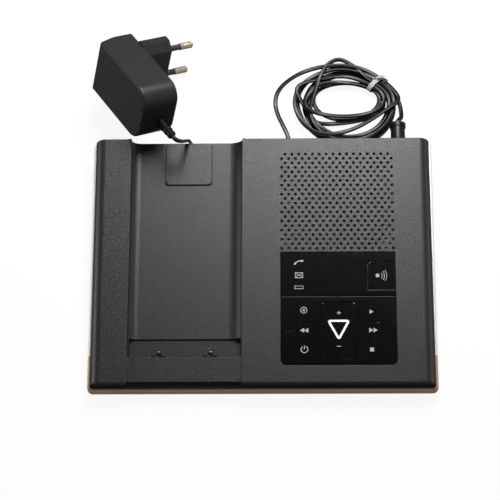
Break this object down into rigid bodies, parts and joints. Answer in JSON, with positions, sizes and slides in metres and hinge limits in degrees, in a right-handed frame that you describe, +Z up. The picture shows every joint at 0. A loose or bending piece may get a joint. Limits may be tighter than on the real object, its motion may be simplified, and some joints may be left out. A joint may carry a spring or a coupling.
{
  "type": "answering machine",
  "caption": "Cordless telephone base with built-in answering machine, empty handset cradle, speaker grille and key panel, with plug-in adaptor and coiled lead.",
  "frame": {"origin": "centre of the base's footprint, on the surface that its feet stand on", "axes": "+X to the user's right, +Y from the front edge to the back with the sockets, +Z up"},
  "size_m": [0.1984, 0.2155, 0.0578],
  "materials": {
    "housing_black": "fine textured black",
    "case_silver": "satin silver",
    "cradle_black": "satin black",
    "panel_gloss": "high gloss black",
    "light_white": "translucent white",
    "lamp_clear": "clear",
    "contact_metal": "nickelled",
    "socket_black": "moulded",
    "board_green": "solder resist",
    "switch_grey": "moulded",
    "steel": "plated",
    "cone_paper": "paper",
    "foam": "foam",
    "foot_rubber": "matt",
    "adaptor_black": "fine textured black",
    "pin_metal": "nickel",
    "cord_black": "satin black",
    "tie_white": "matt white"
  },
  "bodies": {
    "base": {"lower_case": "case_silver", "front_trim": "case_silver", "upper_housing": "housing_black", "handset_rest_tab": "cradle_black", "contact_carrier": "cradle_black", "display_window": "panel_gloss", "line_jack": "socket_black", "dc_jack": "socket_black", "foot_1": "foot_rubber", "foot_2": "foot_rubber", "foot_3": "foot_rubber", "foot_4": "foot_rubber", "key_board": "board_green", "switch_delete": "switch_grey", "switch_play": "switch_grey", "switch_power": "switch_grey", "switch_stop": "switch_grey", "switch_paging": "switch_grey", "lamp_status": "lamp_clear", "lamp_message": "lamp_clear", "lamp_phone": "lamp_clear", "light_guide": "light_white", "main_board": "board_green", "radio_shield": "steel", "antenna_left": "steel", "antenna_right": "steel", "speaker_gasket": "foam", "speaker_frame": "steel", "speaker_magnet": "steel", "nav_post": "socket_black", "dc_pin": "steel", "screw_1": "steel", "screw_2": "steel", "screw_3": "steel", "screw_4": "steel", "adaptor_cap": "adaptor_black", "adaptor_shell": "adaptor_black", "plug_pin_1": "pin_metal", "plug_pin_2": "pin_metal", "pin_sleeve_1": "adaptor_black", "pin_sleeve_2": "adaptor_black", "adaptor_relief": "cord_black", "lead_loose": "cord_black", "lead_coil": "cord_black", "lead_tail": "cord_black", "twist_tie": "tie_white", "dc_plug": "cord_black", "dc_barrel": "pin_metal"},
    "paging": {"paging_key": "panel_gloss"},
    "delete": {"delete_key": "panel_gloss"},
    "play": {"play_key": "panel_gloss"},
    "power": {"power_key": "panel_gloss"},
    "stop": {"stop_key": "panel_gloss"},
    "nav_tilt": {"nav_gimbal": "socket_black"},
    "nav": {"nav_key": "panel_gloss", "nav_light_ring": "light_white"},
    "contact_left": {"charge_contact_left": "contact_metal"},
    "contact_right": {"charge_contact_right": "contact_metal"},
    "cone": {"speaker_cone": "cone_paper"}
  },
  "joints": [
    {"name": "paging_press", "type": "slide", "parent": "base", "child": "paging", "axis": [0, 0.0785, -0.9969], "range_m": [0, 0.00045], "stiffness_N_per_m": 500, "springref_m": -0.00045},
    {"name": "delete_press", "type": "slide", "parent": "base", "child": "delete", "axis": [0, 0.0785, -0.9969], "range_m": [0, 0.00045], "stiffness_N_per_m": 500, "springref_m": -0.00045},
    {"name": "play_press", "type": "slide", "parent": "base", "child": "play", "axis": [0, 0.0785, -0.9969], "range_m": [0, 0.00045], "stiffness_N_per_m": 500, "springref_m": -0.00045},
    {"name": "power_press", "type": "slide", "parent": "base", "child": "power", "axis": [0, 0.0785, -0.9969], "range_m": [0, 0.00045], "stiffness_N_per_m": 500, "springref_m": -0.00045},
    {"name": "stop_press", "type": "slide", "parent": "base", "child": "stop", "axis": [0, 0.0785, -0.9969], "range_m": [0, 0.00045], "stiffness_N_per_m": 500, "springref_m": -0.00045},
    {"name": "contact_left_press", "type": "slide", "parent": "base", "child": "contact_left", "axis": [0, 0.0785, -0.9969], "range_m": [0, 0.0007], "stiffness_N_per_m": 300, "springref_m": -0.0007},
    {"name": "contact_right_press", "type": "slide", "parent": "base", "child": "contact_right", "axis": [0, 0.0785, -0.9969], "range_m": [0, 0.0007], "stiffness_N_per_m": 300, "springref_m": -0.0007},
    {"name": "nav_rock_front_back", "type": "hinge", "parent": "base", "child": "nav_tilt", "pos_m": [0.04265, -0.04131, 0.01361], "axis": [1, 0, 0], "range_deg": [-1.8, 1.8], "stiffness_Nm_per_rad": 0.12},
    {"name": "nav_rock_side", "type": "hinge", "parent": "nav_tilt", "child": "nav", "pos_m": [0.04265, -0.04131, 0.01361], "axis": [0, 0.9969, 0.0785], "range_deg": [-1.2, 1.2], "stiffness_Nm_per_rad": 0.12},
    {"name": "cone_stroke", "type": "slide", "parent": "base", "child": "cone", "axis": [0, 0.0785, -0.9969], "range_m": [-0.0003, 0.0003], "stiffness_N_per_m": 800}
  ]
}
